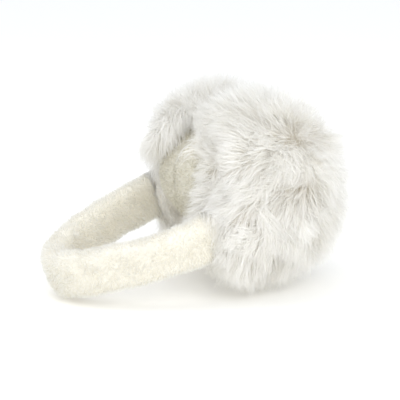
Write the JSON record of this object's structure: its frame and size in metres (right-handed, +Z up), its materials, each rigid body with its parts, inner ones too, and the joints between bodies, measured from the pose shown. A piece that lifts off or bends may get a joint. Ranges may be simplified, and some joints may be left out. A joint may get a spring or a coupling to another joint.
{
  "type": "fur earmuffs",
  "caption": "Long-haired fur earmuffs on a padded plush headband, lying with the muffs sprung together and the band's crown on the surface.",
  "frame": {"origin": "on the surface that the earmuffs lie on, under the middle of the whole", "axes": "+X runs from the crown of the headband to the muffs, +Y to the left muff, across the middle plane that the two halves mirror in, +Z up from the surface"},
  "size_m": [0.1885, 0.145, 0.1225],
  "materials": {
    "band_plush": "short dense cream plush",
    "pad_plush": "clipped dense plush, a little yellower than the band",
    "long_fur": "long soft white hair with cool grey underwool"
  },
  "bodies": {
    "root": {"headband": "band_plush", "ear_pad_left": "pad_plush", "ear_pad_right": "pad_plush", "fur_muff_left": "long_fur", "fur_muff_right": "long_fur"}
  },
  "joints": []
}
